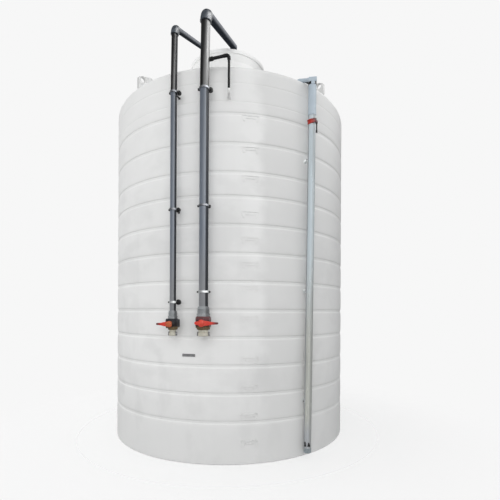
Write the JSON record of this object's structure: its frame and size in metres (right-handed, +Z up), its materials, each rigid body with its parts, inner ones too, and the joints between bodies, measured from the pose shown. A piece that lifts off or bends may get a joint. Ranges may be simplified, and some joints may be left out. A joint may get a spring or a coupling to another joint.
{
  "type": "vertical storage tank",
  "caption": "Upright round storage tank with a ringed wall, a coned roof and lid, valved fill risers, a vent line and a float level gauge.",
  "frame": {"origin": "middle of the tank's flat underside", "axes": "+Z up the tank, -Y to the front, +X to the right seen from the front"},
  "size_m": [3, 3.2276, 5.163],
  "materials": {
    "shell": "satin moulded plastic",
    "pipe": "smooth grey pipe",
    "fitting": "smooth dark fitting",
    "clip": "plated clip",
    "valve": "dark moulded body",
    "handle": "orange-red moulded plastic",
    "outlet": "pale greenish coupling",
    "vent": "black pipe",
    "nozzle": "white fitting",
    "gauge_pipe": "pale blue-grey pipe",
    "gauge_tube": "milky clear tube",
    "plate": "plain dark plate"
  },
  "bodies": {
    "tank_body": {"tank_floor": "shell", "wall_segment_1": "shell", "wall_segment_2": "shell", "wall_segment_3": "shell", "wall_segment_4": "shell", "wall_segment_5": "shell", "wall_segment_6": "shell", "wall_segment_7": "shell", "wall_segment_8": "shell", "tank_roof": "shell", "manway_neck": "shell", "manway_lid": "shell", "lifting_lug_1": "shell", "lifting_lug_2": "shell", "lifting_lug_3": "shell", "lifting_lug_4": "shell", "large_riser": "pipe", "large_run": "pipe", "large_top_elbow": "fitting", "large_lid_elbow": "fitting", "large_lid_flange": "fitting", "large_clip_1": "clip", "large_clip_2": "clip", "large_clip_3": "clip", "large_union": "fitting", "large_valve": "valve", "large_outlet": "outlet", "small_riser": "pipe", "small_run": "pipe", "small_top_elbow": "fitting", "small_lid_elbow": "fitting", "small_lid_flange": "fitting", "small_clip_1": "clip", "small_clip_2": "clip", "small_clip_3": "clip", "small_union": "fitting", "small_valve": "valve", "small_outlet": "outlet", "vent_line": "vent", "vent_nozzle": "nozzle", "gauge_pipe": "gauge_pipe", "gauge_elbow": "gauge_pipe", "gauge_run": "gauge_pipe", "gauge_tube": "gauge_tube", "gauge_foot_cap": "vent", "gauge_bracket_1": "clip", "gauge_bracket_2": "clip", "gauge_bracket_3": "clip", "wall_plate": "plate"},
    "large_handle_body": {"large_handle": "handle"},
    "small_handle_body": {"small_handle": "handle"},
    "pointer_body": {"gauge_pointer": "handle"}
  },
  "joints": [
    {"name": "large_valve_turn", "type": "hinge", "parent": "tank_body", "child": "large_handle_body", "pos_m": [-0.18587, -1.61383, 1.4365], "axis": [-0.1144, -0.9934, 0], "range_deg": [0, 90]},
    {"name": "small_valve_turn", "type": "hinge", "parent": "tank_body", "child": "small_handle_body", "pos_m": [-0.50056, -1.536, 1.423], "axis": [-0.3098, -0.9508, 0], "range_deg": [-90, 0]},
    {"name": "pointer_slide", "type": "slide", "parent": "tank_body", "child": "pointer_body", "axis": [0.0086, -0.0058, 0.9999], "range_m": [-3.3, 0.03]}
  ]
}
